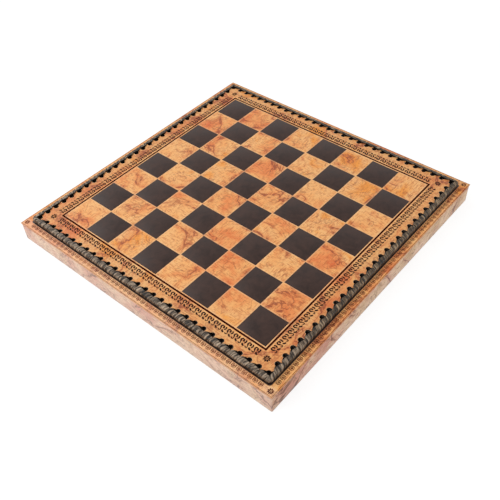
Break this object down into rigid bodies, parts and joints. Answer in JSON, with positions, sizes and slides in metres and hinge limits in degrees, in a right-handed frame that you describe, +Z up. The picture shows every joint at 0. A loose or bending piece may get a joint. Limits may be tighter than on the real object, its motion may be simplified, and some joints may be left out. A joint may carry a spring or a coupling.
{
  "type": "chess board",
  "caption": "Square chess board box: a shallow felt-lined tray covered in printed leather, under a lift-off playing panel with inlaid dark squares and a whip-stitched laced edge.",
  "frame": {"origin": "middle of the footprint, at the bottom face of the felt pad and of the leather hem round it", "axes": "+Z up; -Y is the near side of the player whose right-hand corner square is light; +X is that player's right"},
  "size_m": [0.35, 0.35, 0.0292],
  "materials": {
    "printed_leather": "satin, aged print",
    "dark_leather": "satin",
    "lace_leather": "worn satin",
    "rail_wood": "planed, bare",
    "hardboard": "smooth",
    "plywood": "sanded",
    "felt": "matte",
    "steel": "bright"
  },
  "bodies": {
    "tray": {"base_felt": "felt", "bottom_panel": "hardboard", "rail_front": "rail_wood", "rail_right": "rail_wood", "rail_back": "rail_wood", "rail_left": "rail_wood", "side_covering": "printed_leather", "rim_strip_front": "printed_leather", "rim_strip_right": "printed_leather", "rim_strip_back": "printed_leather", "rim_strip_left": "printed_leather", "floor_lining": "felt", "wall_lining_front": "felt", "wall_lining_right": "felt", "wall_lining_back": "felt", "wall_lining_left": "felt", "centre_divider": "rail_wood", "corner_brads": "steel"},
    "lid": {"lid_core": "plywood", "playing_leather": "printed_leather", "dark_squares": "dark_leather", "border_line": "dark_leather", "edge_lacing_front": "lace_leather", "edge_lacing_right": "lace_leather", "edge_lacing_back": "lace_leather", "edge_lacing_left": "lace_leather", "lid_lining": "felt", "lid_batten_front": "rail_wood", "lid_batten_right": "rail_wood", "lid_batten_back": "rail_wood", "lid_batten_left": "rail_wood"}
  },
  "joints": [
    {"name": "lid_lift", "type": "slide", "parent": "tray", "child": "lid", "axis": [0, 0, 1], "range_m": [0, 0.06]}
  ]
}
